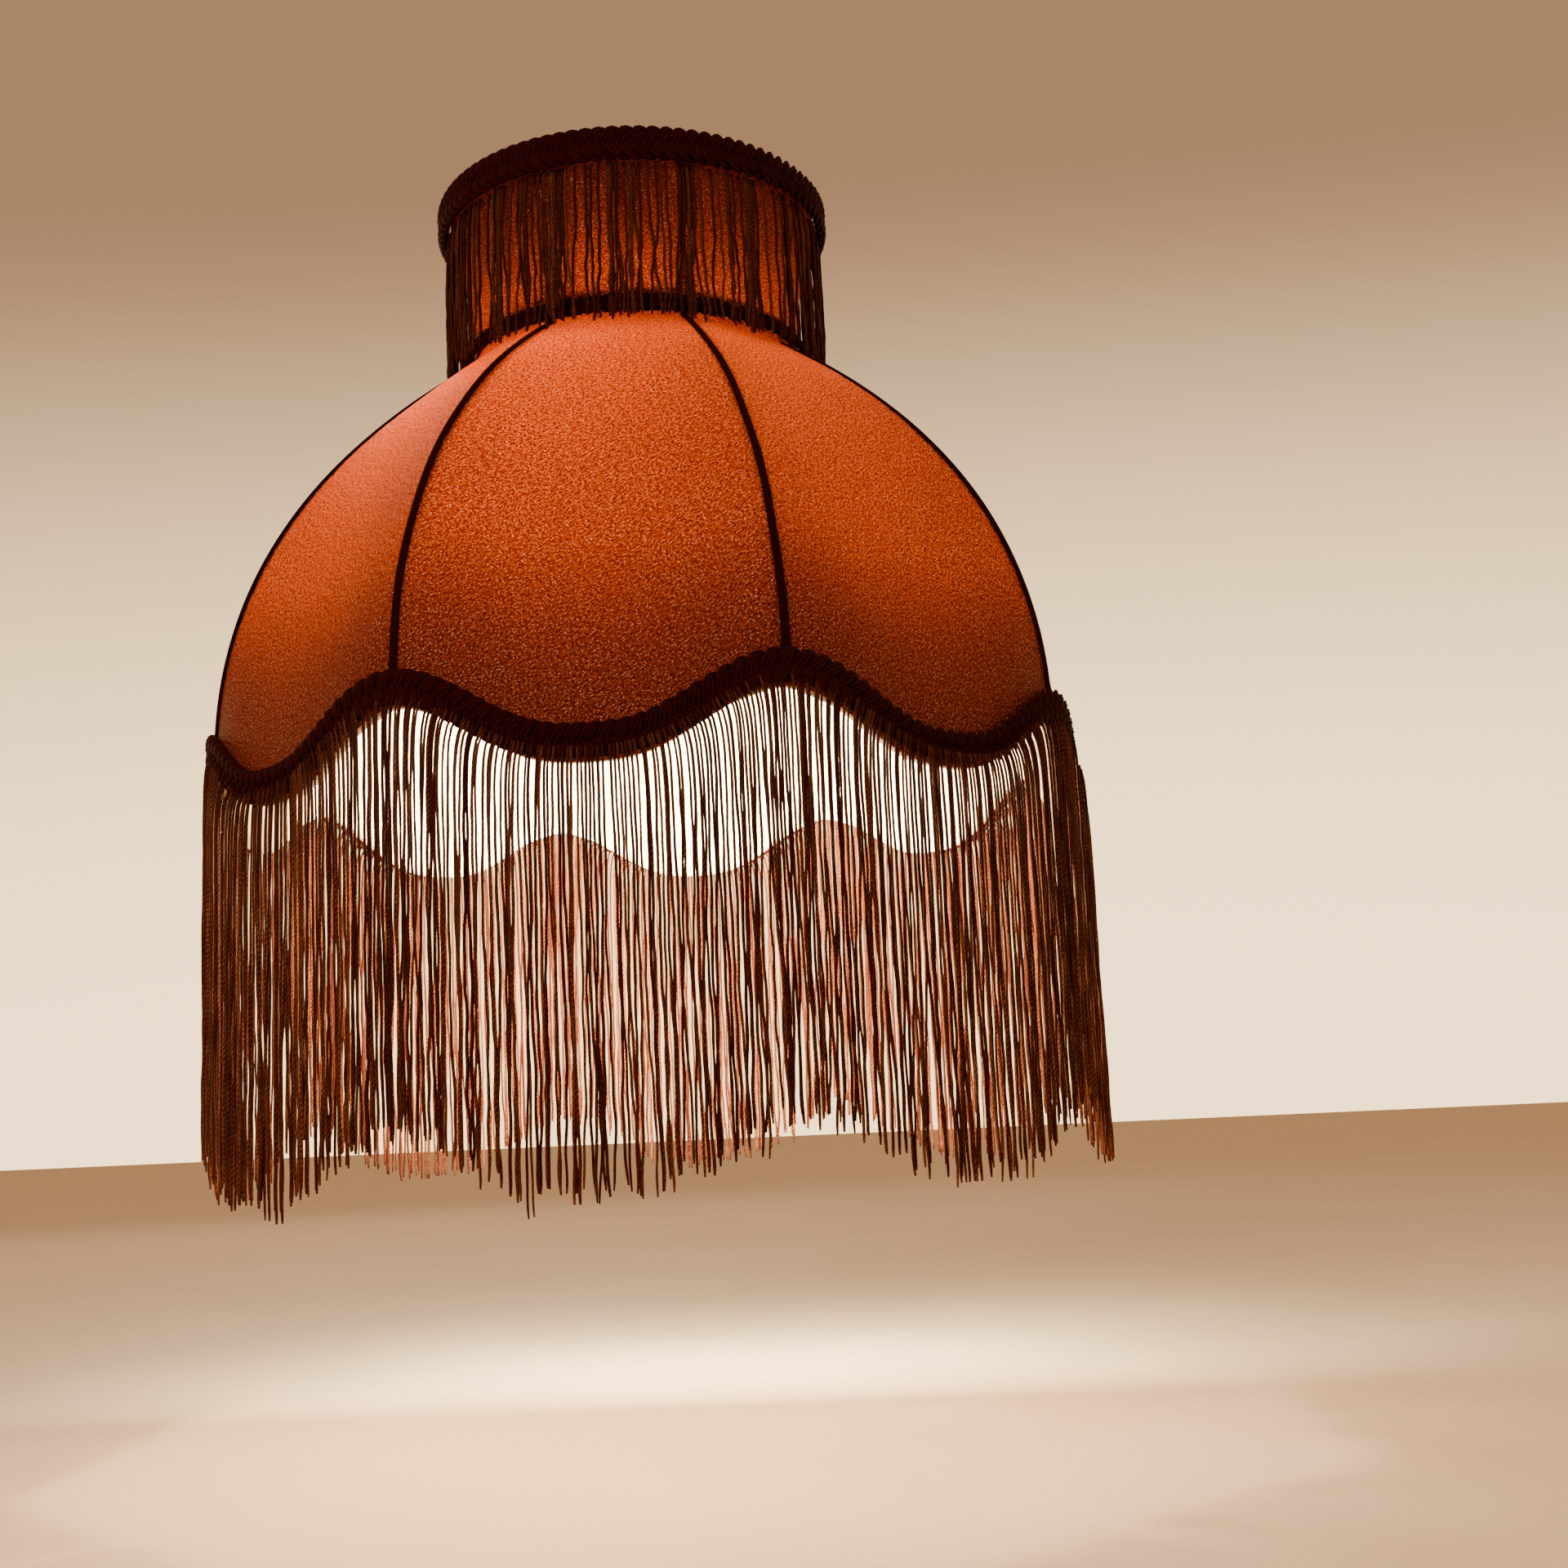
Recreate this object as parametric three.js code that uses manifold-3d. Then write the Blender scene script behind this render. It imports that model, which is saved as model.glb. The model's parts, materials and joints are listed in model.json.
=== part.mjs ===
// A fringed Victorian dome lamp shade: a wire frame of eight ribs and three rings, dressed in
// eight stretched fabric gores with a short collar above them, lined, piped, braided and fringed,
// and hung on a tilting drop fitter.
//
// Units are millimetres and +Z is up. The origin is the centre of the fitter ring's seat, where
// the lampholder's shoulder carries the shade. The fitter tilts about an axis along X.
import * as THREE from 'three';
import { mergeVertices } from 'three/addons/utils/BufferGeometryUtils.js';
import Module from 'manifold-3d';

const wasm = await Module();
wasm.setup();

// ---- Driving dimensions ------------------------------------------------------------------
const RIB_COUNT = 8;
const SECTOR = (2 * Math.PI) / RIB_COUNT;
const STEPS_PER_SECTOR = 6;                    // facets in each gore, shared by every round piece
const ROUND_STEPS = RIB_COUNT * STEPS_PER_SECTOR;

const WIRE_R = 1.75;                           // frame wire, 3.5 mm
const GAP = 0.4;                               // clearance between neighbouring pieces

// The rib's centre line, in (radius, height).
const TOP_R = 78.8;                            // under the top ring
const TOP_Z = 212;
const COLLAR_FOOT_R = 68.1;                    // where the straight collar ends
const COLLAR_FOOT_Z = 149;
const NECK_R = 66.9;                           // the corner that the neck bend is drawn round
const NECK_Z = 143.4;
const BEND_RUN = 5;                            // how far past that corner the bend ends
const SHOULDER_R = 141.8;                      // the handle that carries the dome out from the neck
const SHOULDER_Z = 94.3;
const HEM_R = 177;
const HEM_PEAK_Z = -31;                        // the foot of a rib
const HEM_HANDLE_Z = 36.8;                     // the handle that brings it down plumb to the hem

// The hem dips between the ribs.
const HEM_DIP = 24.6;                          // how much lower it runs in mid-gore
const HEM_DIP_INSET = 3.5;                     // and how much nearer the axis
const SCALLOP_SHARPNESS = 1.4;

const FABRIC_T = 1.2;
const CLOTH_GAP = 0.7;                         // a gore leaves its rib at an angle, so it needs more
const LINING_T = 1;
const TAUTNESS = 1.08;                         // 1 is a flat chord from rib to rib
const PIPING_W = 3.4;
const PIPING_T = 1.2;

const BRAID_T = 5;
const HEM_BRAID_H = 12;
const NECK_BRAID_H = 8;
const NECK_BRAID_R = 73.2;                     // inside, where it beds into the neck's corner
const NECK_BRAID_Z = 148.5;
const TOP_BRAID_H = 13.6;
const TOP_BRAID_FOOT = 204;

const HEM_FRINGE_R = 184.5;                    // middle of the hanging curtain of strands
const HEM_FRINGE_L = 150;
const COLLAR_FRINGE_R = 83.4;
const COLLAR_FRINGE_L = 63;
const FRINGE_T = 3;

// The fitter: a flat ring with two turned-up ears, hung on two wire arms.
const SEAT_HOLE_R = 21;
const SEAT_R = 27;
const STRIP_T = 1.6;
const EAR_R = 5;                               // half the ear's width, and its round top
const PIVOT_Z = 6;
const PIVOT_HOLE_R = 1.65;
const PIN_R = 1.5;
const PIN_HEAD_R = 3;
const PIN_HEAD_T = 1.1;
const NECK_RING_R = COLLAR_FOOT_R - 2 * WIRE_R - 2 * GAP;
const NECK_RING_Z = 147;

// ---- Materials -----------------------------------------------------------------------------
const finish = (color, roughness, metalness) =>
  () => new THREE.MeshStandardMaterial({ color, roughness, metalness });
const FRAME_WIRE = finish(0xd9d4c8, 0.5, 0.3);
const FITTER_METAL = finish(0xc9a45a, 0.35, 1);
const GOLD_CLOTH = finish(0xc87a32, 0.55, 0.1);
const LINING_CLOTH = finish(0xf2e8d6, 0.8, 0);
const PIPING_CLOTH = finish(0x2c0f0c, 0.8, 0);
const BRAID_CORD = finish(0x35130f, 0.75, 0);
const FRINGE_THREAD = finish(0x56221a, 0.6, 0);

const shade = new THREE.Group();

function addPiece(name, geometry, material) {
  const mesh = new THREE.Mesh(geometry, material());
  mesh.name = name;
  shade.add(mesh);
  return mesh;
}

// ---- Geometry helpers ----------------------------------------------------------------------
function weld(geometry) {
  geometry.deleteAttribute('normal');
  geometry.deleteAttribute('uv');
  return mergeVertices(geometry, 1e-4);
}

// Moves every vertex of a geometry to where place(x, y, z) says.
function bend(geometry, place) {
  const position = geometry.attributes.position;
  for (let i = 0; i < position.count; i += 1) {
    const to = place(position.getX(i), position.getY(i), position.getZ(i));
    position.setXYZ(i, to.x, to.y, to.z);
  }
  return weld(geometry);
}

function toSolid(geometry) {
  const welded = weld(geometry.clone());
  return new wasm.Manifold(new wasm.Mesh({
    numProp: 3,
    vertProperties: new Float32Array(welded.attributes.position.array),
    triVerts: new Uint32Array(welded.index.array),
  }));
}

function fromSolid(solid) {
  const mesh = solid.getMesh();
  const geometry = new THREE.BufferGeometry();
  geometry.setAttribute('position', new THREE.BufferAttribute(mesh.vertProperties, 3));
  geometry.setIndex(new THREE.BufferAttribute(mesh.triVerts, 1));
  return geometry;
}

const polar = (radius, azimuth, z) =>
  new THREE.Vector3(radius * Math.cos(azimuth), radius * Math.sin(azimuth), z);

// Azimuth of a rib; the gores, not the ribs, face the X and Y axes.
const ribAzimuth = (index) => (index + 0.5) * SECTOR;

// ---- The shade's form ----------------------------------------------------------------------
const collarFoot = new THREE.Vector2(COLLAR_FOOT_R, COLLAR_FOOT_Z);
const neckCorner = new THREE.Vector2(NECK_R, NECK_Z);
const shoulder = new THREE.Vector2(SHOULDER_R, SHOULDER_Z);
const bendEnd = shoulder.clone().sub(neckCorner).setLength(BEND_RUN).add(neckCorner);
const neckBend = new THREE.QuadraticBezierCurve(collarFoot, neckCorner, bendEnd);
const sweep = new THREE.CubicBezierCurve(
  bendEnd, shoulder,
  new THREE.Vector2(HEM_R, HEM_HANDLE_Z), new THREE.Vector2(HEM_R, HEM_PEAK_Z),
);
const domeLine = new THREE.CurvePath();
domeLine.add(neckBend);
domeLine.add(sweep);
const collarLine = new THREE.LineCurve(new THREE.Vector2(TOP_R, TOP_Z), collarFoot);

// A point of the rib plane, moved off the centre line by offset along its outward normal.
function offsetPoint(line, t, offset) {
  const point = line.getPoint(t);
  const along = line.getTangent(t);
  return new THREE.Vector2(point.x - along.y * offset, point.y + along.x * offset);
}

// How far across its gore an azimuth is: 0 at a rib, 1 half way to the next.
function acrossGore(azimuth) {
  const turns = azimuth / SECTOR - 0.5;
  return 2 * Math.abs(turns - Math.round(turns));
}

// 0 at a rib, 1 where the hem dips lowest.
function hemDip(azimuth) {
  const arch = (1 + Math.cos(Math.PI * acrossGore(azimuth))) / 2;
  return 1 - arch ** SCALLOP_SHARPNESS;
}
const hemZ = (azimuth) => HEM_PEAK_Z - HEM_DIP * hemDip(azimuth);

// Radius of a flat chord from rib to rib, as a share of the radius at the ribs.
function chordShare(azimuth) {
  const fromMiddle = (1 - acrossGore(azimuth)) * SECTOR / 2;
  return Math.cos(SECTOR / 2) / Math.cos(fromMiddle);
}

// A point on the dome: down runs from 0 at the neck to 1 at the hem, and offset is outwards.
function domePoint(azimuth, down, offset) {
  const p = offsetPoint(domeLine, down, offset);
  const taut = TAUTNESS * Math.sin(Math.PI * down) ** 0.8;
  const pulledIn = 1 - (1 - chordShare(azimuth)) * taut;
  const low = down ** 3;
  const radius = p.x * pulledIn - HEM_DIP_INSET * hemDip(azimuth) * low;
  const drop = (hemZ(azimuth) - HEM_PEAK_Z) * low;
  return polar(radius, azimuth, p.y + drop);
}

// A point on the collar: down runs from 0 at the top ring to 1 at the neck.
function collarPoint(azimuth, down, offset) {
  const p = offsetPoint(collarLine, down, offset);
  const taut = 0.5 * Math.sin(Math.PI * down);
  return polar(p.x * (1 - (1 - chordShare(azimuth)) * taut), azimuth, p.y);
}

// Even steps from one value to another, both included.
const steps = (from, to, count) =>
  Array.from({ length: count + 1 }, (_, i) => THREE.MathUtils.lerp(from, to, i / count));

// A sheet of a wall between two azimuths and two offsets from the wall's centre line, with a
// row of vertices at each station down the wall.
function wallSheet(wall, azimuths, stations, offsets) {
  const rows = stations.length - 1;
  const box = new THREE.BoxGeometry(1, 1, 1, STEPS_PER_SECTOR, rows, 1);
  return bend(box, (x, y, z) => wall(
    THREE.MathUtils.lerp(...azimuths, 0.5 + x),
    stations[Math.round((0.5 - y) * rows)],
    THREE.MathUtils.lerp(...offsets, 0.5 + z),
  ));
}

// A closed ring of square section: place(azimuth, row, out) puts each vertex, where row counts
// from the foot and out is 0 on the inside and 1 on the outside.
function turn(rows, place) {
  const section = [];
  for (let i = 0; i <= rows; i += 1) section.push(new THREE.Vector2(2, i));
  for (let i = rows; i >= 0; i -= 1) section.push(new THREE.Vector2(1, i));
  section.push(section[0].clone());
  return bend(new THREE.LatheGeometry(section, ROUND_STEPS), (x, y, z) => place(
    Math.atan2(x, z) + SECTOR / 2, Math.round(y), Math.round(Math.hypot(x, z)) - 1,
  ));
}

function wallTurn(wall, stations, offsets) {
  const rows = stations.length - 1;
  return turn(rows, (azimuth, row, out) => wall(azimuth, stations[rows - row], offsets[out]));
}

// A wire bent along a curve.
function wire(curve, steps, sides) {
  const section = new THREE.Shape();
  section.absarc(0, 0, WIRE_R, 0, 2 * Math.PI, false);
  return weld(new THREE.ExtrudeGeometry(section, {
    steps, curveSegments: sides, extrudePath: curve,
  }));
}

const wireRing = (radius, sides) => new THREE.TorusGeometry(radius, WIRE_R, sides, ROUND_STEPS);

// Runs a unit-high geometry down a rib. Each station is a line and a share of its length, and
// section(x, z) says how far out and how far sideways a vertex lies.
function alongRib(index, geometry, stations, section) {
  const rows = stations.length - 1;
  const azimuth = ribAzimuth(index);
  const sideways = polar(1, azimuth + Math.PI / 2, 0);
  return bend(geometry, (x, y, z) => {
    const [line, share] = stations[Math.round((0.5 - y) * rows)];
    const [out, side] = section(x, z);
    const p = offsetPoint(line, share, out);
    return polar(p.x, azimuth, p.y).addScaledVector(sideways, side);
  });
}

// ---- Frame ---------------------------------------------------------------------------------
// The share of the dome's length in the neck bend.
const BEND_END = neckBend.getLength() / domeLine.getLength();

// Each rib is one wire, from under the top ring to just above the hem wire.
function ribs() {
  const stations = [
    ...steps(0.04, 0.6, 1).map((share) => [collarLine, share]),
    ...steps(0, BEND_END, 4).map((share) => [domeLine, share]),
    ...steps(BEND_END, 1, 10).slice(1).map((share) => [domeLine, share]),
  ];
  for (let i = 0; i < RIB_COUNT; i += 1) {
    const rod = new THREE.CylinderGeometry(1, 1, 1, 6, stations.length - 1);
    const rib = alongRib(i, rod, stations, (x, z) => [WIRE_R * z, WIRE_R * x]);
    addPiece(`rib_${i + 1}`, rib, FRAME_WIRE);
  }
}

function rings() {
  const top = wireRing(TOP_R, 6).translate(0, 0, TOP_Z);
  addPiece('top_ring', weld(top), FRAME_WIRE);
  const neck = wireRing(NECK_RING_R, 6).translate(0, 0, NECK_RING_Z);
  addPiece('neck_ring', weld(neck), FRAME_WIRE);
  const hem = bend(wireRing(HEM_R, 6), (x, y, z) => {
    const azimuth = Math.atan2(y, x) + SECTOR / 2;
    const radius = Math.hypot(x, y) - HEM_DIP_INSET * hemDip(azimuth);
    return polar(radius, azimuth, z + hemZ(azimuth) - WIRE_R - GAP);
  });
  addPiece('hem_ring', hem, FRAME_WIRE);
}

// ---- Cloth ---------------------------------------------------------------------------------
const LINING_OFFSETS = [-WIRE_R - GAP - LINING_T, -WIRE_R - GAP];
const CLOTH_OFFSETS = [WIRE_R + CLOTH_GAP, WIRE_R + CLOTH_GAP + FABRIC_T];
const PIPING_OFFSETS = [CLOTH_OFFSETS[1] + 0.35, CLOTH_OFFSETS[1] + 0.35 + PIPING_T];

function gores() {
  const seam = GAP / HEM_R;                     // half the gap between gores, as an angle
  const domeRows = [...steps(0.004, BEND_END, 3), ...steps(BEND_END, 1, 10).slice(1)];
  const collarRows = steps(0, 0.988, 3);
  for (let i = 0; i < RIB_COUNT; i += 1) {
    const across = [ribAzimuth(i) + seam, ribAzimuth(i + 1) - seam];
    addPiece(`dome_panel_${i + 1}`,
      wallSheet(domePoint, across, domeRows, CLOTH_OFFSETS), GOLD_CLOTH);
    addPiece(`collar_panel_${i + 1}`,
      wallSheet(collarPoint, across, collarRows, CLOTH_OFFSETS), GOLD_CLOTH);
  }
}

// The linings stop short of the neck ring, which they are whipped to.
function linings() {
  addPiece('dome_lining',
    wallTurn(domePoint, steps(BEND_END, 1, 9), LINING_OFFSETS), LINING_CLOTH);
  addPiece('collar_lining',
    wallTurn(collarPoint, steps(0.06, 0.96, 3), LINING_OFFSETS), LINING_CLOTH);
}

// A narrow strip over each seam, from the neck braid down to the hem braid.
function pipings() {
  const stations = steps(0.06, 0.945, 12).map((share) => [domeLine, share]);
  for (let i = 0; i < RIB_COUNT; i += 1) {
    const strip = new THREE.BoxGeometry(1, 1, 1, 1, stations.length - 1, 1);
    const piping = alongRib(i, strip, stations, (x, z) => [
      THREE.MathUtils.lerp(...PIPING_OFFSETS, 0.5 + z), PIPING_W * x,
    ]);
    addPiece(`rib_piping_${i + 1}`, piping, PIPING_CLOTH);
  }
}

// ---- Trimmings -----------------------------------------------------------------------------
// An upright band round the axis, whose inner radius and foot may change with the azimuth.
const band = (innerR, thickness, footZ, height) => turn(1, (azimuth, row, out) =>
  polar(innerR(azimuth) + thickness * out, azimuth, footZ(azimuth) + height * row));

const BRAID_INSET = CLOTH_OFFSETS[1] + GAP;    // a braid's inside, out from the centre line
const hemBraidFoot = (azimuth) => hemZ(azimuth) - WIRE_R - GAP;

function braids() {
  const hemInside = (azimuth) => HEM_R + BRAID_INSET - HEM_DIP_INSET * hemDip(azimuth);
  addPiece('hem_braid', band(hemInside, BRAID_T, hemBraidFoot, HEM_BRAID_H), BRAID_CORD);
  addPiece('neck_braid', band(() => NECK_BRAID_R, BRAID_T,
    () => NECK_BRAID_Z - NECK_BRAID_H / 2, NECK_BRAID_H), BRAID_CORD);
  addPiece('top_braid', band(() => TOP_R + BRAID_INSET, BRAID_T,
    () => TOP_BRAID_FOOT, TOP_BRAID_H), BRAID_CORD);
}

function fringes() {
  const curtain = (radius, length, headZ) => band(() => radius - FRINGE_T / 2, FRINGE_T,
    (azimuth) => headZ(azimuth) - GAP - length, length);
  addPiece('hem_fringe',
    curtain(HEM_FRINGE_R, HEM_FRINGE_L, hemBraidFoot), FRINGE_THREAD);
  addPiece('collar_fringe',
    curtain(COLLAR_FRINGE_R, COLLAR_FRINGE_L, () => TOP_BRAID_FOOT), FRINGE_THREAD);
}

// ---- Fitter --------------------------------------------------------------------------------
const EAR_X = SEAT_R - STRIP_T;                // inner face of the ring's ear
const EYE_X = SEAT_R + GAP;                    // inner face of the arm's flattened eye

// An upright plate in the YZ plane with a round end about the pivot and a pin hole.
function earPlate(x, footZ) {
  const outline = new THREE.Shape();
  outline.moveTo(-EAR_R, footZ);
  outline.lineTo(EAR_R, footZ);
  outline.absarc(0, PIVOT_Z, EAR_R, 0, Math.PI, false);
  outline.closePath();
  const hole = new THREE.Path();
  hole.absarc(0, PIVOT_Z, PIVOT_HOLE_R, 0, 2 * Math.PI, true);
  outline.holes.push(hole);
  const plate = new THREE.ExtrudeGeometry(outline, {
    depth: STRIP_T, bevelEnabled: false, curveSegments: 10,
  });
  plate.applyMatrix4(new THREE.Matrix4().set(
    0, 0, 1, x,
    1, 0, 0, 0,
    0, 1, 0, 0,
    0, 0, 0, 1,
  ));
  return plate;
}

function fitterRing() {
  const outline = new THREE.Shape();
  outline.absarc(0, 0, SEAT_R, 0, 2 * Math.PI, false);
  const hole = new THREE.Path();
  hole.absarc(0, 0, SEAT_HOLE_R, 0, 2 * Math.PI, true);
  outline.holes.push(hole);
  const seat = new THREE.ExtrudeGeometry(outline, {
    depth: STRIP_T, bevelEnabled: false, curveSegments: 18,
  });
  const rightEar = toSolid(earPlate(EAR_X, 0.4));
  const leftEar = toSolid(earPlate(-SEAT_R, 0.4));
  addPiece('fitter_ring', fromSolid(toSolid(seat).add(rightEar).add(leftEar)), FITTER_METAL);
}

// An arm's eye is upside down to the ring's ear: its round end hangs below the pivot.
function armEye() {
  const eye = earPlate(0, PIVOT_Z - EAR_R - 1);
  return eye.translate(0, 0, -PIVOT_Z).rotateX(Math.PI).translate(EYE_X, 0, PIVOT_Z);
}

function arms() {
  const topX = NECK_RING_R - 2 * WIRE_R - GAP;
  const footX = EYE_X + WIRE_R;
  const route = new THREE.CatmullRomCurve3([
    new THREE.Vector3(footX, 0, PIVOT_Z + EAR_R - 1),
    new THREE.Vector3(footX + 0.5, 0, 22),
    new THREE.Vector3(topX - 19, 0, 60),
    new THREE.Vector3(topX - 6, 0, 105),
    new THREE.Vector3(topX, 0, 135),
    new THREE.Vector3(topX, 0, NECK_RING_Z + WIRE_R),
  ]);
  const right = toSolid(wire(route, 16, 4)).add(toSolid(armEye()));
  addPiece('drop_arm_right', fromSolid(right), FITTER_METAL);
  addPiece('drop_arm_left', fromSolid(right), FITTER_METAL).rotation.z = Math.PI;
}

function rivets() {
  const inner = EAR_X - GAP;
  const outer = EYE_X + STRIP_T + GAP;
  const profile = [
    [0, inner - PIN_HEAD_T], [PIN_HEAD_R - 1, inner - PIN_HEAD_T], [PIN_HEAD_R, inner - 0.4],
    [PIN_HEAD_R, inner], [PIN_R, inner], [PIN_R, outer], [PIN_HEAD_R, outer],
    [PIN_HEAD_R, outer + 0.4], [PIN_HEAD_R - 1, outer + PIN_HEAD_T], [0, outer + PIN_HEAD_T],
  ].map(([radius, x]) => new THREE.Vector2(radius, x));
  for (const [name, turn] of [['pivot_rivet_right', 0], ['pivot_rivet_left', Math.PI]]) {
    const rivet = weld(new THREE.LatheGeometry(profile, 14).rotateZ(-Math.PI / 2));
    const mesh = addPiece(name, rivet, FITTER_METAL);
    mesh.position.set(0, 0, PIVOT_Z);
    mesh.rotation.z = turn;
  }
}

rings();
ribs();
gores();
linings();
pipings();
braids();
fringes();
fitterRing();
arms();
rivets();

export default shade;
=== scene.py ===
"""A fringed Victorian dome lamp shade, dressed in cloth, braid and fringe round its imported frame.

The wall of the shade is described once, in the same (radius, height) terms as the CAD part, and
every gore, lining, piping, braid and strand is laid out on it. Lengths are in metres, and the
origin is the centre of the fitter ring's seat.
"""
import json
from math import cos, pi, radians, sin
from typing import NamedTuple

import bpy
import numpy as np
from mathutils import Matrix, Vector


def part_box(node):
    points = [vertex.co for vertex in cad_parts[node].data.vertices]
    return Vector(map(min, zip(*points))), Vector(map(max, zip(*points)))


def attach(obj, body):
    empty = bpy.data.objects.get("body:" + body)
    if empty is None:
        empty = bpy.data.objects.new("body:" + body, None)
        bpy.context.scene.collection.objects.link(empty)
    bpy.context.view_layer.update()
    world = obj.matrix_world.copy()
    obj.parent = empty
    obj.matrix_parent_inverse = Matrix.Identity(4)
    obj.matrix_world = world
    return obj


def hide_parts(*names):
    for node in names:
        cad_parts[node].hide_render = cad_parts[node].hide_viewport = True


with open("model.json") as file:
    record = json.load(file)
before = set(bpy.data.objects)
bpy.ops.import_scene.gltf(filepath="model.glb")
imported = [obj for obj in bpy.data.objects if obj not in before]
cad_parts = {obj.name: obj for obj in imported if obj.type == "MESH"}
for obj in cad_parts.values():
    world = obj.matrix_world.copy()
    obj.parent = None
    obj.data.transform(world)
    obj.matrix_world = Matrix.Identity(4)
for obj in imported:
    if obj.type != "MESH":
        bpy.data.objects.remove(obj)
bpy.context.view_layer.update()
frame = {"nodes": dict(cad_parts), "record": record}
MM = 0.001
BODY = "shade"
random = np.random.default_rng(14)

# ---- Camera, floor and lights --------------------------------------------------------------
CAMERA_DISTANCE = 0.819
CAMERA_HEIGHT = -0.176
CAMERA_AZIMUTH = 7.1           # degrees round from the front, towards +X
CAMERA_TURN = 4.0              # degrees that it looks to the right of the axis
CAMERA_PITCH = 9.28
CAMERA_ROLL = -2.58
CAMERA_LENS = 44
FLOOR_Z = -0.31                # the table top that the whole lamp would stand on
BULB_PLACE = (-0.034, -0.01, 0.105)
BULB_R = 0.026
PANEL_PLACE = (0, 0.02, -0.07) # a soft panel inside the skirt, which lights the far strands


def add_object(name, data):
    ob = bpy.data.objects.new(name, data)
    bpy.context.scene.collection.objects.link(ob)
    return ob


def place_camera():
    data = bpy.data.cameras.new("camera")
    data.lens = CAMERA_LENS
    data.sensor_width = 36
    camera = add_object("camera", data)
    around = Matrix.Rotation(radians(CAMERA_AZIMUTH), 4, "Z")
    turn = Matrix.Rotation(radians(-CAMERA_TURN), 4, "Z")
    tilt = Matrix.Rotation(radians(90 + CAMERA_PITCH), 4, "X")
    roll = Matrix.Rotation(radians(CAMERA_ROLL), 4, "Z")
    stand = Matrix.Translation((0, -CAMERA_DISTANCE, CAMERA_HEIGHT))
    camera.matrix_world = around @ stand @ turn @ tilt @ roll
    bpy.context.scene.camera = camera


def area_light(name, place, aim, size, watts, colour):
    data = bpy.data.lights.new(name, "AREA")
    data.size = size
    data.energy = watts
    data.color = colour
    light = add_object(name, data)
    light.location = place
    light.rotation_euler = (Vector(aim) - Vector(place)).to_track_quat("-Z", "Y").to_euler()
    return light


def place_lights():
    area_light("key", (-0.45, -1.35, 0.7), (0, 0, 0.05), 0.35, 14, (1.0, 0.84, 0.72))
    area_light("side", (1.5, -0.3, 0.7), (0, 0, 0), 0.8, 2, (1.0, 0.76, 0.56))
    area_light("rim", (-0.6, 1.6, 0.8), (0, 0, 0), 1.0, 5, (1.0, 0.82, 0.66))
    bulb = bpy.data.lights.new("bulb", "POINT")
    bulb.energy = 12.5
    bulb.color = (1.0, 0.74, 0.46)
    bulb.shadow_soft_size = BULB_R
    add_object("bulb", bulb).location = BULB_PLACE
    panel = area_light("glow", PANEL_PLACE, (0, 1, 0.12), 0.16, 12, (1.0, 0.93, 0.6))
    panel.visible_camera = False


def studio_world():
    """A plain surround, pale low down at the back and a deeper tan overhead and in front."""
    world = bpy.data.worlds.new("studio")
    world.use_nodes = True
    nodes, links = world.node_tree.nodes, world.node_tree.links
    rise = nodes.new("ShaderNodeVectorMath")
    rise.operation = "DOT_PRODUCT"
    rise.inputs[1].default_value = (0, -0.35, 1)
    raised = nodes.new("ShaderNodeMath")
    raised.inputs[1].default_value = 0.35
    ramp = nodes.new("ShaderNodeValToRGB")
    links.new(nodes.new("ShaderNodeTexCoord").outputs["Generated"], rise.inputs[0])
    links.new(rise.outputs["Value"], raised.inputs[0])
    links.new(raised.outputs[0], ramp.inputs["Fac"])
    links.new(ramp.outputs["Color"], nodes["Background"].inputs["Color"])
    nodes["Background"].inputs["Strength"].default_value = 3.4
    pale, deep = ramp.color_ramp.elements
    pale.position, deep.position = 0.04, 0.5
    ramp.color_ramp.interpolation = "EASE"
    pale.color, deep.color = (1.0, 0.7, 0.36, 1), (0.14, 0.075, 0.038, 1)
    bpy.context.scene.world = world


# ---- Node materials ------------------------------------------------------------------------
RIDGE_SCALE = 1 / 3.14159      # brings the wave texture's ridges about one unit apart


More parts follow.
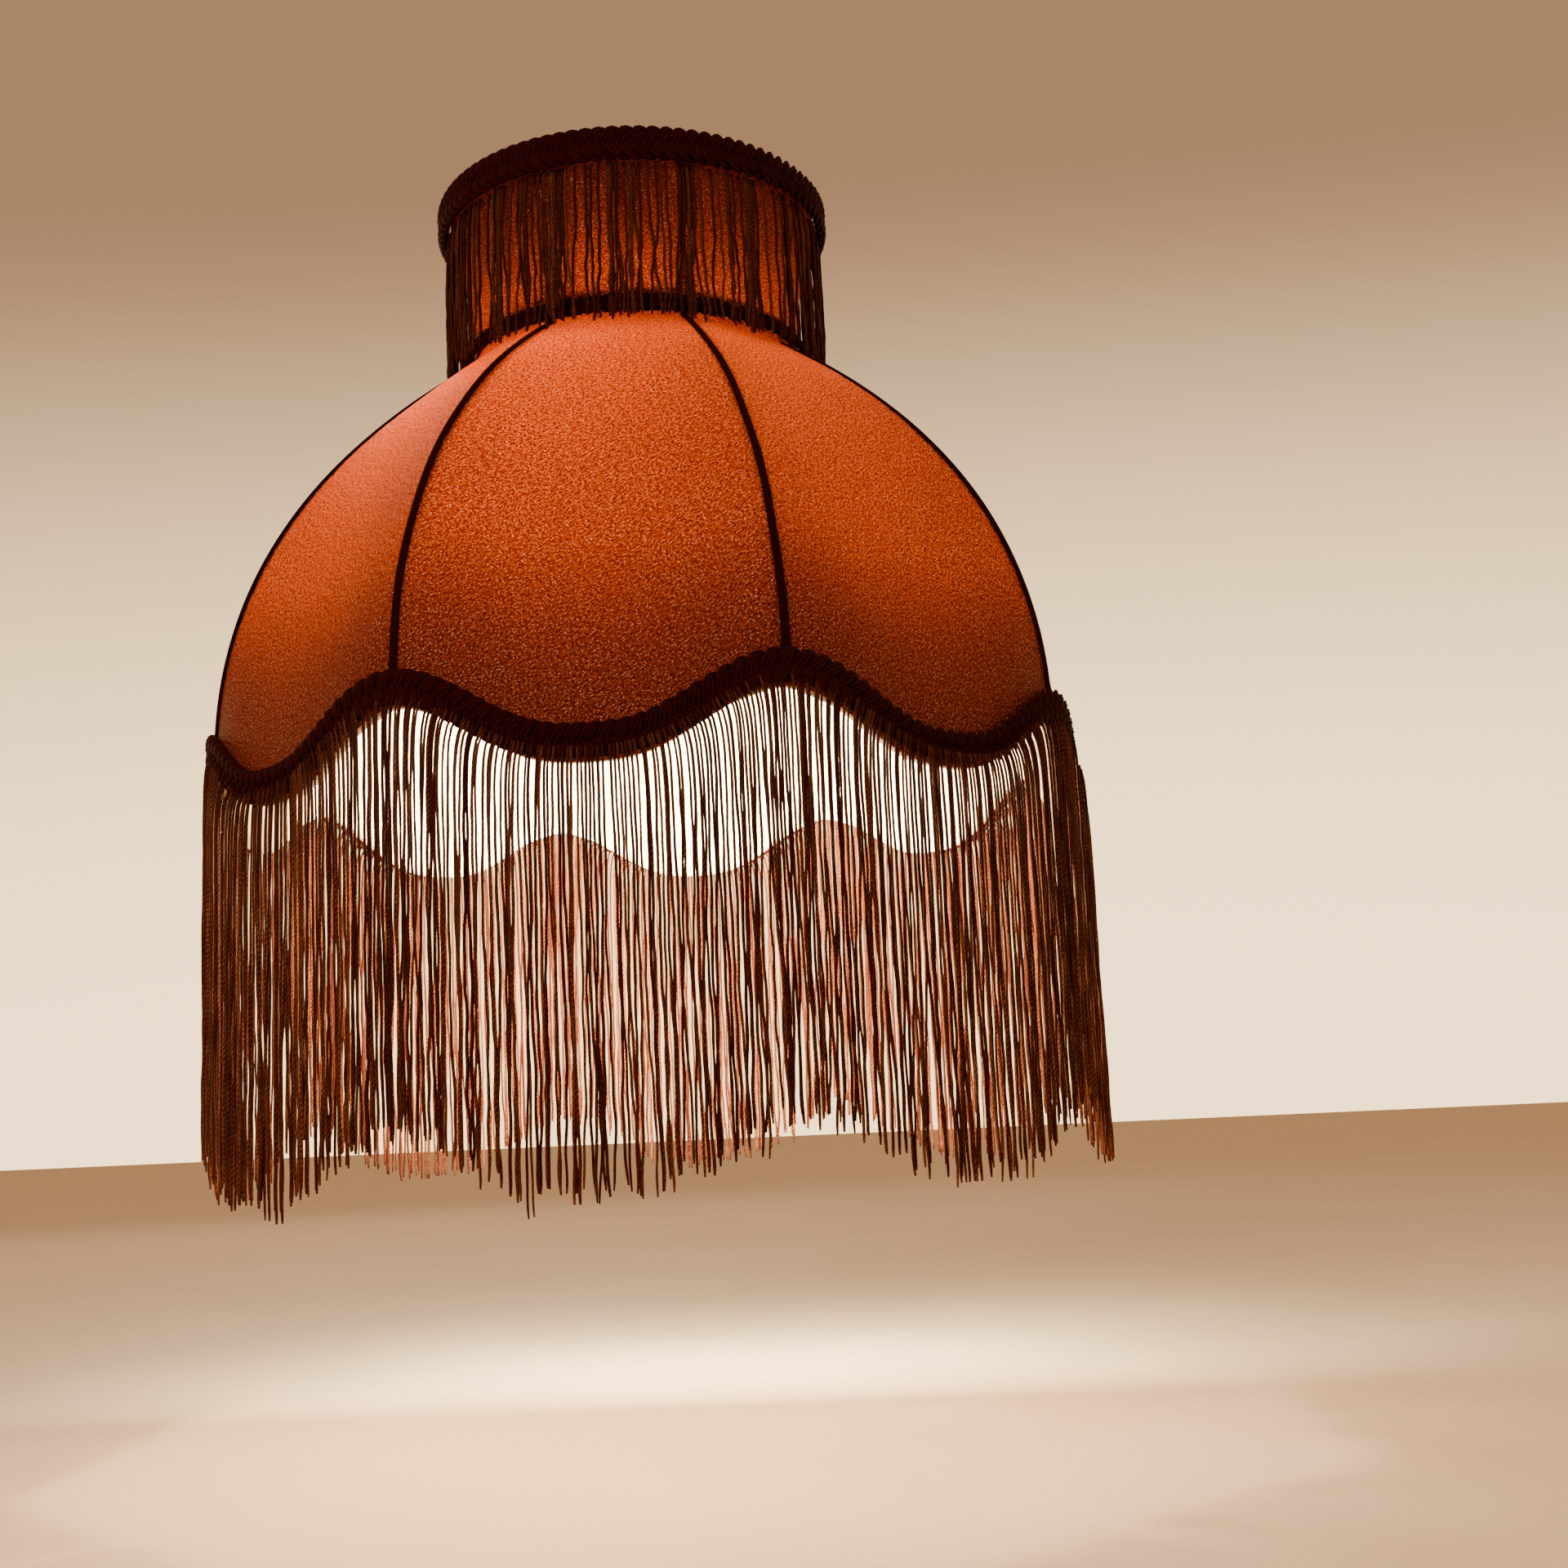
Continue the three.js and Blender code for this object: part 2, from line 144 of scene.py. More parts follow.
class Look:
    """A material made of nodes, with short ways to add and join them."""

    def __init__(self, name):
        self.material = bpy.data.materials.new(name)
        self.material.use_nodes = True
        self.tree = self.material.node_tree
        self.tree.nodes.clear()

    def add(self, kind, values=(), **settings):
        node = self.tree.nodes.new("ShaderNode" + kind)
        for key, value in settings.items():
            setattr(node, key, value)
        for key, value in dict(values).items():
            if isinstance(value, bpy.types.NodeSocket):
                self.tree.links.new(value, node.inputs[key])
            else:
                node.inputs[key].default_value = value
        return node

    def scaled_uv(self, across, along, turn=0.0, source="UV"):
        """The cloth's own coordinates, in units of across and along metres."""
        uv = self.add("TexCoord").outputs[source]
        turned = self.add("Mapping", {"Vector": uv, "Rotation": (0, 0, radians(turn))})
        return self.add("Mapping", {
            "Vector": turned.outputs[0], "Scale": (1 / across, 1 / along, 1 / across),
        }).outputs[0]

    def noise(self, vector, scale=1.0, detail=2.0, roughness=0.5):
        return self.add("TexNoise", {
            "Vector": vector, "Scale": scale, "Detail": detail, "Roughness": roughness,
        }).outputs["Fac"]

    def wave(self, vector, distortion=0.0, direction="X"):
        """Even ridges, about one to each unit of the vector."""
        return self.add("TexWave", {
            "Vector": vector, "Scale": RIDGE_SCALE, "Distortion": distortion,
        }, bands_direction=direction).outputs["Fac"]

    def spread(self, value, low, high, to_low=0.0, to_high=1.0):
        return self.add("MapRange", {
            0: value, 1: low, 2: high, 3: to_low, 4: to_high,
        }).outputs[0]

    def sum(self, first, second, operation="ADD"):
        return self.add("Math", {0: first, 1: second}, operation=operation).outputs[0]

    def mix(self, factor, first, second):
        return self.add("Mix", {0: factor, 6: first, 7: second}, data_type="RGBA").outputs[2]

    def bump(self, height, distance, strength=1.0):
        return self.add("Bump", {
            "Height": height, "Distance": distance, "Strength": strength,
        }).outputs[0]

    def finish(self, shader):
        output = self.add("OutputMaterial")
        self.tree.links.new(shader, output.inputs["Surface"])
        return self.material


def rgb(red, green, blue):
    return (red, green, blue, 1)


def gold_cloth():
    """Copper-gold crepe satin: short slanting floats with painted glint spots, and a warm glow through
    it.
    Where the layers attribute rises the cloth is darker and lets less through: doubled where it is
    tucked in or turned under, painted shade elsewhere."""
    look = Look("gold_cloth")
    floats = look.noise(look.scaled_uv(1.0 * MM, 0.8 * MM, -38), detail=1)
    twill = look.noise(look.scaled_uv(2.2 * MM, 0.8 * MM, -24), detail=1)
    cloudy = look.noise(look.scaled_uv(52 * MM, 52 * MM))
    layers = look.add("Attribute", attribute_name="layers").outputs["Fac"]
    relief = look.sum(floats, look.sum(twill, 0.45, "MULTIPLY"))
    grain = look.spread(relief, 0.62, 0.84)
    sparks = look.noise(look.scaled_uv(0.72 * MM, 0.56 * MM, -38), detail=0)
    painted_glint_spots = look.sum(look.spread(sparks, 0.6, 0.7), grain, "MULTIPLY")
    lit = look.mix(grain, rgb(0.05, 0.003, 0.002), rgb(0.34, 0.045, 0.008))
    # painted highlight: pale glint spots in the base colour
    lit = look.mix(painted_glint_spots, lit, rgb(0.95, 0.5, 0.3))
    lit = look.mix(look.spread(cloudy, 0.3, 0.7, 0.0, 0.25), lit, rgb(0.14, 0.012, 0.003))
    # painted shade: the base colour darkens where the layers attribute rises
    lit = look.mix(look.sum(layers, 0.45, "MULTIPLY"), lit, rgb(0.05, 0.003, 0.002))
    through = look.mix(grain, rgb(0.5, 0.11, 0.0), rgb(1.0, 0.42, 0.01))
    # the same painted glint spots let a paler, yellower light through
    through = look.mix(painted_glint_spots, through, rgb(1.0, 0.64, 0.06))
    # painted shade: the glow deepens in colour there too
    through = look.mix(layers, through, rgb(0.64, 0.17, 0.0))
    normal = look.bump(relief, 0.5 * MM, 1.0)
    surface = look.add("BsdfPrincipled", {
        "Base Color": lit, "Roughness": look.spread(grain, 0, 1, 0.5, 0.28), "Normal": normal,
        "Specular IOR Level": 0.06, "Specular Tint": rgb(1.0, 0.42, 0.14),
        "Sheen Weight": 0.01, "Sheen Roughness": 0.4, "Sheen Tint": rgb(1.0, 0.3, 0.06),
    })
    glow = look.add("BsdfTranslucent", {"Color": through, "Normal": normal})
    # painted shade: where the layers attribute rises, a smaller share of the light comes through
    return look.finish(look.add("MixShader", {
        0: look.spread(layers, 0, 1, 0.24, 0.062), 1: surface.outputs[0], 2: glow.outputs[0],
    }).outputs[0])


def lining_cloth():
    """Cream lining of fine plain weave."""
    look = Look("lining_cloth")
    warp = look.wave(look.scaled_uv(0.45 * MM, 0.45 * MM))
    weft = look.wave(look.scaled_uv(0.45 * MM, 0.45 * MM), direction="Y")
    weave = look.sum(warp, weft, "MULTIPLY")
    cloudy = look.noise(look.scaled_uv(30 * MM, 30 * MM))
    colour = look.mix(weave, rgb(0.78, 0.69, 0.56), rgb(0.92, 0.86, 0.76))
    colour = look.mix(look.spread(cloudy, 0.35, 0.7, 0.0, 0.3), colour, rgb(0.8, 0.7, 0.55))
    normal = look.bump(weave, 0.12 * MM, 0.6)
    surface = look.add("BsdfPrincipled", {
        "Base Color": colour, "Roughness": look.spread(weave, 0, 1, 0.9, 0.7), "Normal": normal,
        "Sheen Weight": 0.2,
    })
    glow = look.add("BsdfTranslucent", {"Color": colour, "Normal": normal})
    return look.finish(look.add("MixShader", {
        0: 0.4, 1: surface.outputs[0], 2: glow.outputs[0],
    }).outputs[0])


def piping_cloth():
    """Maroon-black folded tape, ribbed across."""
    look = Look("piping_cloth")
    ribs = look.wave(look.scaled_uv(0.5 * MM, 0.5 * MM), 0.4, "Y")
    fuzz = look.noise(look.scaled_uv(0.8 * MM, 0.8 * MM), detail=3)
    colour = look.mix(look.sum(ribs, fuzz, "MULTIPLY"),
                      rgb(0.008, 0.0007, 0.0007), rgb(0.04, 0.004, 0.003))
    normal = look.bump(look.sum(ribs, fuzz), 0.14 * MM, 0.8)
    return look.finish(look.add("BsdfPrincipled", {
        "Base Color": colour, "Roughness": look.spread(fuzz, 0.3, 0.7, 0.68, 0.9),
        "Normal": normal, "Specular IOR Level": 0.06, "Specular Tint": rgb(1.0, 0.4, 0.3),
        "Sheen Weight": 0.03, "Sheen Roughness": 0.5, "Sheen Tint": rgb(0.6, 0.16, 0.1),
    }).outputs[0])


def braid_cord():
    """Maroon-black gimp: each cord is wound round with fine glossy thread."""
    look = Look("braid_cord")
    winding = look.wave(look.scaled_uv(0.42 * MM, 0.42 * MM, 32), 0.3, "Y")
    fuzz = look.noise(look.scaled_uv(1.6 * MM, 1.6 * MM), detail=3)
    tone = look.add("Attribute", attribute_name="tone").outputs["Fac"]
    dark = look.mix(tone, rgb(0.008, 0.0005, 0.0006), rgb(0.018, 0.0013, 0.0013))
    colour = look.mix(look.sum(winding, fuzz, "MULTIPLY"), dark, rgb(0.05, 0.005, 0.004))
    normal = look.bump(winding, 0.12 * MM, 0.9)
    return look.finish(look.add("BsdfPrincipled", {
        "Base Color": colour, "Roughness": look.spread(winding, 0, 1, 0.7, 0.42),
        "Normal": normal, "Specular IOR Level": 0.07, "Specular Tint": rgb(1.0, 0.4, 0.3),
        "Sheen Weight": 0.03, "Sheen Roughness": 0.4, "Sheen Tint": rgb(0.7, 0.2, 0.12),
    }).outputs[0])


def fringe_thread():
    """Flat chainette: a row of tiny loops, with a painted copper highlight on their crowns and painted
    burgundy shade in their hollows.
    """
    look = Look("fringe_thread")
    stitch = look.wave(look.scaled_uv(1.0 * MM, 0.52 * MM), 0.6, "Y")
    split = look.wave(look.scaled_uv(0.62 * MM, 0.8 * MM, 18))
    crown = look.sum(stitch, split, "MULTIPLY")
    fuzz = look.noise(look.scaled_uv(1.2 * MM, 2.5 * MM), detail=2)
    tone = look.add("Attribute", attribute_name="tone").outputs["Fac"]
    dark = look.mix(tone, rgb(0.015, 0.0007, 0.0012), rgb(0.055, 0.0035, 0.004))
    crown_highlight = look.mix(tone, rgb(0.13, 0.03, 0.008), rgb(0.36, 0.18, 0.06))
    # painted highlight and shade: copper on the loop crowns, burgundy in the hollows
    colour = look.mix(look.spread(look.sum(crown, fuzz, "MULTIPLY"), 0.1, 0.5), dark, crown_highlight)
    normal = look.bump(crown, 0.16 * MM, 0.9)
    return look.finish(look.add("BsdfPrincipled", {
        "Base Color": colour, "Roughness": look.spread(crown, 0, 1, 0.66, 0.36),
        "Normal": normal, "Specular IOR Level": 0.08, "Specular Tint": rgb(1.0, 0.5, 0.35),
        "Sheen Weight": 0.04, "Sheen Roughness": 0.35, "Sheen Tint": rgb(0.9, 0.35, 0.16),
    }).outputs[0])


def painted_wire():
    """Cream powder coat with a faint orange peel and yellowed patches."""
    look = Look("painted_wire")
    place = look.add("TexCoord").outputs["Object"]
    peel = look.noise(place, 900, 2)
    stain = look.noise(place, 40, 3)
    colour = look.mix(look.spread(stain, 0.4, 0.7), rgb(0.76, 0.71, 0.6), rgb(0.6, 0.52, 0.38))
    return look.finish(look.add("BsdfPrincipled", {
        "Base Color": colour, "Roughness": look.spread(peel, 0.3, 0.7, 0.38, 0.55),
        "Normal": look.bump(peel, 0.08 * MM, 0.5),
    }).outputs[0])


def fitter_brass():
    """Satin brass plate with fine brushing and dull spots."""
    look = Look("fitter_brass")
    place = look.add("TexCoord").outputs["Object"]
    brushed = look.noise(look.add("Mapping", {
        "Vector": place, "Scale": (90, 90, 2400),
    }).outputs[0], 1, 3)
    dull = look.noise(place, 120, 4)
    colour = look.mix(look.spread(dull, 0.45, 0.7), rgb(0.78, 0.56, 0.27), rgb(0.42, 0.27, 0.12))
    rough = look.sum(look.spread(brushed, 0.3, 0.7, 0.2, 0.36),
                     look.spread(dull, 0.45, 0.7, 0.0, 0.2))
    return look.finish(look.add("BsdfPrincipled", {
        "Base Color": colour, "Metallic": 1.0, "Roughness": rough,
        "Normal": look.bump(brushed, 0.04 * MM, 0.5),
    }).outputs[0])


def floor_paper():
    """Pale, faintly mottled paper."""
    look = Look("floor_paper")
    mottle = look.noise(look.add("TexCoord").outputs["Object"], 6, 4)
    colour = look.mix(mottle, rgb(0.78, 0.62, 0.46), rgb(0.84, 0.69, 0.53))
    return look.finish(look.add("BsdfPrincipled", {
        "Base Color": colour, "Roughness": 0.75,
    }).outputs[0])


GOLD = gold_cloth()
CREAM = lining_cloth()
TAPE = piping_cloth()
CORD = braid_cord()
THREAD = fringe_thread()
WIRE = painted_wire()
BRASS = fitter_brass()


# ---- Mesh helpers --------------------------------------------------------------------------
def build_mesh(name, points, quads, uvs, caps=(), **shades):
    """A mesh of quads with a uv, in metres, at each quad's corner. caps are its other faces, and
    shades are numbers at its points that its material reads."""
    mesh = bpy.data.meshes.new(name)
    points = np.asarray(points, float).reshape(-1, 3)
    faces = quads.tolist() + [list(cap) for cap in caps]
    mesh.from_pydata(points.tolist(), [], faces)
    corners = np.zeros((sum(len(f) for f in faces), 2), np.float32)
    corners[: quads.size] = np.asarray(uvs, np.float32).reshape(-1, 2)
    mesh.uv_layers.new(name="cloth").data.foreach_set("uv", corners.ravel())
    mesh.polygons.foreach_set("use_smooth", np.ones(len(faces), bool))
    for key, values in shades.items():
        attribute = mesh.attributes.new(key, "FLOAT", "POINT")
        attribute.data.foreach_set("value", np.asarray(values, np.float32).ravel())
    mesh.update()
    return mesh


def add_piece(name, mesh, material, stands_for, body=BODY):
    ob = add_object(name, mesh)
    mesh.materials.append(material)
    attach(ob, body)
    if stands_for:
        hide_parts(*stands_for)
    return ob


def grid_quads(rows, columns, closed, start=0):
    """Corner indices of the quads of a grid of points, wrapping round its columns if closed."""
    wide = columns if closed else columns - 1
    i, j = np.meshgrid(np.arange(rows - 1), np.arange(wide), indexing="ij")
    k = (j + 1) % columns
    corners = [i * columns + j, i * columns + k, (i + 1) * columns + k, (i + 1) * columns + j]
    return start + np.stack(corners, -1).reshape(-1, 4)


def shell(name, outer, inner, closed=False, layers=0.0):
    """A closed sheet of cloth between two grids of points: rows run down it, columns across.
    layers says at each row, from 0 to 1, how far the cloth is doubled or darkened by painted shade."""
    rows, columns = outer.shape[:2]
    across = np.linalg.norm(np.diff(outer, axis=1, append=outer[:, :1]), axis=2)
    u = np.cumsum(across, axis=1) - across
    u -= u[:, columns // 2][:, None]
    v = -np.cumsum(np.linalg.norm(np.diff(outer, axis=0, prepend=outer[:1]), axis=2), axis=0)
    uv = np.stack([u, v], -1).reshape(-1, 2)
    uv = np.concatenate([uv, uv])
    under = rows * columns
    front = grid_quads(rows, columns, closed)
    back = grid_quads(rows, columns, closed, under)[:, ::-1]
    index = np.arange(under).reshape(rows, columns)
    edges = [index[0][::-1], index[-1]]
    if closed:
        edges = [np.r_[edge, edge[0]] for edge in edges]
    else:
        edges += [index[:, 0], index[:, -1][::-1]]
    sides = [np.stack([e[:-1], e[:-1] + under, e[1:] + under, e[1:]], -1)[:, ::-1] for e in edges]
    quads = np.concatenate([front, back, *sides])
    corner_uv = uv[quads].copy()
    if closed:
        wrap = corner_uv[..., 0].max(1) - corner_uv[..., 0].min(1) > 0.1
        seam = corner_uv[wrap]
        seam[..., 0] = np.where(seam[..., 0] < 0, seam[..., 0] + across.sum(1).max(), seam[..., 0])
        corner_uv[wrap] = seam
    points = np.concatenate([outer.reshape(-1, 3), inner.reshape(-1, 3)])
    layers = np.tile(np.repeat(np.broadcast_to(layers, rows), columns), 2)
    mesh = build_mesh(name, points, quads, corner_uv, layers=layers)
    face_outwards(mesh)
    return mesh


def face_outwards(mesh):
    """Turns a closed mesh's faces so that they point away from its inside."""
    mesh.calc_loop_triangles()
    at = np.empty(len(mesh.vertices) * 3)
    mesh.vertices.foreach_get("co", at)
    corner = np.empty(len(mesh.loop_triangles) * 3, np.int32)
    mesh.loop_triangles.foreach_get("vertices", corner)
    a, b, c = at.reshape(-1, 3)[corner.reshape(-1, 3)].transpose(1, 0, 2)
    if np.einsum("ij,ij->i", a, np.cross(b, c)).sum() < 0:
        mesh.flip_normals()


def unit(vectors):
    return vectors / np.linalg.norm(vectors, axis=-1, keepdims=True)


def smooth(t):
    t = np.clip(t, 0, 1)
    return t * t * (3 - 2 * t)


def tubes(name, paths, sideways, half_width, half_depth, sides, twist=0.0, tone=0.5):
    """Closed cords along paths, shaped (cords, points, 3). Their section is an ellipse whose
    width lies along sideways, turned by twist. tone is each cord's shade, from 0 to 1."""
    cords, steps = paths.shape[:2]
    tone = np.broadcast_to(tone, cords)
    along = unit(np.gradient(paths, axis=1))
    side = sideways - np.einsum("ijk,ijk->ij", sideways, along)[..., None] * along
    side = unit(side)
    depth = np.cross(along, side)
    turn = np.broadcast_to(np.asarray(twist, float), (cords, steps))[..., None, None]
    wide = side[:, :, None] * np.cos(turn) + depth[:, :, None] * np.sin(turn)
    deep = depth[:, :, None] * np.cos(turn) - side[:, :, None] * np.sin(turn)
    angle = np.linspace(0, 2 * pi, sides, endpoint=False)[None, None, :, None]
    a = np.broadcast_to(np.asarray(half_width, float), (cords, steps))[..., None, None]
    b = np.broadcast_to(np.asarray(half_depth, float), (cords, steps))[..., None, None]
    points = paths[:, :, None] + wide * a * np.cos(angle) + deep * b * np.sin(angle)
    one = grid_quads(steps, sides, True)
    size = steps * sides
    starts = np.arange(cords) * size
    quads = (starts[:, None, None] + one[None]).reshape(-1, 4)
    length = np.cumsum(np.linalg.norm(np.diff(paths, axis=1, prepend=paths[:, :1]), axis=2), 1)
    around = np.mean(half_width) * 4 / sides
    i, j = np.divmod(np.arange(len(one)), sides)
    u = np.stack([j, j + 1, j + 1, j], -1) * around
    v = length[:, np.stack([i, i, i + 1, i + 1], -1)]
    uvs = np.stack([np.broadcast_to(u, v.shape), v], -1)
    ring = np.arange(sides)
    caps = [start + ring[::-1] for start in starts] + [start + size - sides + ring for start in starts]
    mesh = build_mesh(name, points, quads, uvs, caps, tone=np.repeat(tone, size))
    face_outwards(mesh)
    return mesh


# ---- The shade's form, as the CAD part has it ----------------------------------------------
RIB_COUNT = 8
SECTOR = 2 * pi / RIB_COUNT
WIRE_R = 1.75 * MM
GAP = 0.4 * MM
top_ring_low, top_ring_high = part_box("top_ring")
hem_ring_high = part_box("hem_ring")[1]
TOP_R = top_ring_high.x - WIRE_R
TOP_Z = (top_ring_low.z + top_ring_high.z) / 2
HEM_PEAK_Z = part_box("rib_1")[0].z
HEM_DIP = 24.6 * MM
HEM_DIP_INSET = 3.5 * MM
HEM_R = hem_ring_high.x - WIRE_R + HEM_DIP_INSET
SCALLOP_SHARPNESS = 1.4
COLLAR_FOOT = (68.1 * MM, 149 * MM)
NECK_CORNER = (66.9 * MM, 143.4 * MM)
BEND_RUN = 5 * MM
SHOULDER = (141.8 * MM, 94.3 * MM)
HEM_HANDLE_Z = 36.8 * MM
TAUTNESS = 1.08
CLOTH_INSIDE = WIRE_R + 0.7 * MM       # the CAD cloth's inner face, out from the rib's centre line
CLOTH_MIDDLE = CLOTH_INSIDE + 0.6 * MM
CLOTH_OUTSIDE = CLOTH_INSIDE + 1.2 * MM
CLOTH_T = 0.7 * MM
TUCK_OUT = 2.2 * MM                    # a dome gore's tuck, out from the collar's line
TURN_IN_R = 2.35 * MM                  # a collar gore's turned edge, round the top wire
LINING_MIDDLE = -WIRE_R - GAP - 0.4 * MM
LINING_T = 0.5 * MM
HEM_BRAID_H = 12 * MM
HEM_FOOT = WIRE_R + GAP                # the hem braid's foot, below the foot of the cloth


class Line:
    """A curve in the plane of a rib, met by the share of its length."""

    def __init__(self, points):
        self.points = np.asarray(points, float)
        steps = np.linalg.norm(np.diff(self.points, axis=0), axis=1)
        self.length = steps.sum()
        self.share = np.r_[0, np.cumsum(steps)] / self.length

    def at(self, share):
        return np.stack([np.interp(share, self.share, self.points[:, k]) for k in (0, 1)], -1)

    def moved(self, share, offset):
        """Points moved off the line along its outward normal."""
        step = 0.004
        ahead, behind = np.clip(share + step, 0, 1), np.clip(share - step, 0, 1)
        along = unit(self.at(ahead) - self.at(behind))
        normal = np.stack([-along[..., 1], along[..., 0]], -1)
        return self.at(share) + normal * np.asarray(offset)[..., None]


def bezier(*handles):
    """Points along a curve drawn by three or four handles."""
    t = np.linspace(0, 1, 300)[:, None]
    level = [np.array(handle) for handle in handles]
    while len(level) > 1:
        level = [a * (1 - t) + b * t for a, b in zip(level, level[1:])]
    return level[0]


def dome_line():
    """The neck bend, then one sweep out over the shoulder and down plumb onto the hem."""
    corner, shoulder = np.array(NECK_CORNER), np.array(SHOULDER)
    bend_end = corner + unit(shoulder - corner) * BEND_RUN
    bend = bezier(COLLAR_FOOT, corner, bend_end)
    sweep = bezier(bend_end, shoulder, (HEM_R, HEM_HANDLE_Z), (HEM_R, HEM_PEAK_Z))
    return Line(np.vstack([bend[:-1], sweep])), len(bend) - 1


DOME, bend_points = dome_line()
BEND_END = DOME.share[bend_points]     # the share of the dome's length in the neck bend
COLLAR = Line([[TOP_R, TOP_Z], COLLAR_FOOT])


def across_gore(azimuth):
    """0 at a rib, 1 half way to the next."""
    turns = azimuth / SECTOR - 0.5
    return 2 * np.abs(turns - np.round(turns))


def hem_dip(azimuth):
    return 1 - ((1 + np.cos(pi * across_gore(azimuth))) / 2) ** SCALLOP_SHARPNESS


def hem_z(azimuth):
    return HEM_PEAK_Z - HEM_DIP * hem_dip(azimuth)


def chord_share(azimuth):
    return cos(SECTOR / 2) / np.cos((1 - across_gore(azimuth)) * SECTOR / 2)


def polar(radius, azimuth, z):
    return np.stack(np.broadcast_arrays(radius * np.cos(azimuth), radius * np.sin(azimuth), z), -1)


def dome_wall(azimuth, down, offset):
    at = DOME.moved(down, offset)
    taut = TAUTNESS * np.sin(pi * np.clip(down, 0, 1)) ** 0.8
    low = down ** 3
    radius = at[..., 0] * (1 - (1 - chord_share(azimuth)) * taut)
    radius = radius - HEM_DIP_INSET * hem_dip(azimuth) * low
    return polar(radius, azimuth, at[..., 1] + (hem_z(azimuth) - HEM_PEAK_Z) * low)


def collar_wall(azimuth, down, offset):
    at = COLLAR.moved(down, offset)
    taut = 0.5 * np.sin(pi * np.clip(down, 0, 1))
    return polar(at[..., 0] * (1 - (1 - chord_share(azimuth)) * taut), azimuth, at[..., 1])


def round_wire(azimuth, centre_r, centre_z, angle, reach):
    """Points round a ring's wire: angle 0 is outside it, and a quarter turn is under it."""
    return polar(centre_r + reach * np.cos(angle), azimuth, centre_z - reach * np.sin(angle))


# ---- Cloth ---------------------------------------------------------------------------------
def pucker(azimuth, down, number):
    """Small pulls of the cloth beside its seams, and a slow unevenness over the whole gore."""
    phase = number * 1.7
    from_seam = across_gore(azimuth)
    ticks = np.sin(down * 118 + phase) + 0.6 * np.sin(down * 71 + 2 * phase)
    beside = np.exp(-from_seam / 0.1) * ticks * 0.09
    slow = np.sin(down * 6.5 + phase) * np.sin(from_seam * 2.2 + phase) * 0.5
    folds = np.exp(-down / 0.22) * np.sin(azimuth * 88 + phase) * 0.22
    return (beside + slow + folds) * MM


def gore_azimuths(number, columns):
    seam = 0.12 * MM / HEM_R
    first = (number + 0.5) * SECTOR
    return np.linspace(first + seam, first + SECTOR - seam, columns)[None, :]


def dome_gores():
    """Each gore is one sheet, tucked up inside the collar and turned under the hem wire."""
    rows, columns = 72, 44
    down = (np.linspace(0.002, 1, rows) ** 1.05)[:, None]
    tuck = np.linspace(0.9, 1, 4)[:, None]
    lip = np.linspace(0, 0.28 * pi, 5)[1:, None]
    # painted shade: darker and dimmer near the neck and over the lower third of the dome; the tuck and
    # lip rows, set to 1, are doubled cloth
    layers = 0.55 * (1 - smooth(down[:, 0] / 0.2)) + smooth((down[:, 0] - 0.68) / 0.32)
    layers = np.r_[np.ones(len(tuck)), layers, np.ones(len(lip))]
    pieces = []
    for number in range(RIB_COUNT):
        azimuth = gore_azimuths(number, columns)
        ring_r = HEM_R - HEM_DIP_INSET * hem_dip(azimuth)
        ring_z = hem_z(azimuth) - HEM_FOOT
        faces = []
        for side in (0.5, -0.5):
            middle = CLOTH_MIDDLE + side * CLOTH_T
            offset = middle + pucker(azimuth, down, number) * np.sin(pi * down)
            wall = dome_wall(azimuth, down, offset)
            tucked = collar_wall(azimuth, tuck, (TUCK_OUT + side * CLOTH_T) * np.ones_like(azimuth))
            turned = round_wire(azimuth, ring_r, ring_z, lip, middle)
            faces.append(np.concatenate([tucked, wall, turned]))
        name = f"dome_gore_{number + 1}"
        ob = add_piece(name, shell(name, *faces, layers=layers), GOLD,
                       [f"dome_panel_{number + 1}"])
        pieces.append(ob)
    return pieces


def collar_gores():
    """Each is a short sheet, turned in over the top wire."""
    rows, columns = 24, 20
    down = np.linspace(0.0, 0.99, rows)[:, None]
    lip = np.linspace(-pi, 0, 10)[:-1, None]
    # the lip rows over the top wire are doubled cloth; below them painted shade makes the collar
    # darker at the top and lighter towards its foot
    layers = np.r_[np.ones(len(lip)), 0.8 - 0.5 * smooth(down[:, 0])]
    pieces = []
    for number in range(RIB_COUNT):
        azimuth = gore_azimuths(number, columns)
        ease = np.clip(down / 0.08, 0, 1)
        middle = TURN_IN_R + (CLOTH_MIDDLE - TURN_IN_R) * ease
        faces = []
        for side in (0.5, -0.5):
            offset = middle + side * CLOTH_T + pucker(azimuth, down, number + 3) * 0.5
            wall = collar_wall(azimuth, down, offset)
            turned = round_wire(azimuth, TOP_R, TOP_Z, lip, TURN_IN_R + side * CLOTH_T)
            faces.append(np.concatenate([turned, wall]))
        name = f"collar_gore_{number + 1}"
        pieces.append(add_piece(name, shell(name, *faces, layers=layers), GOLD,
                                [f"collar_panel_{number + 1}"]))
    return pieces


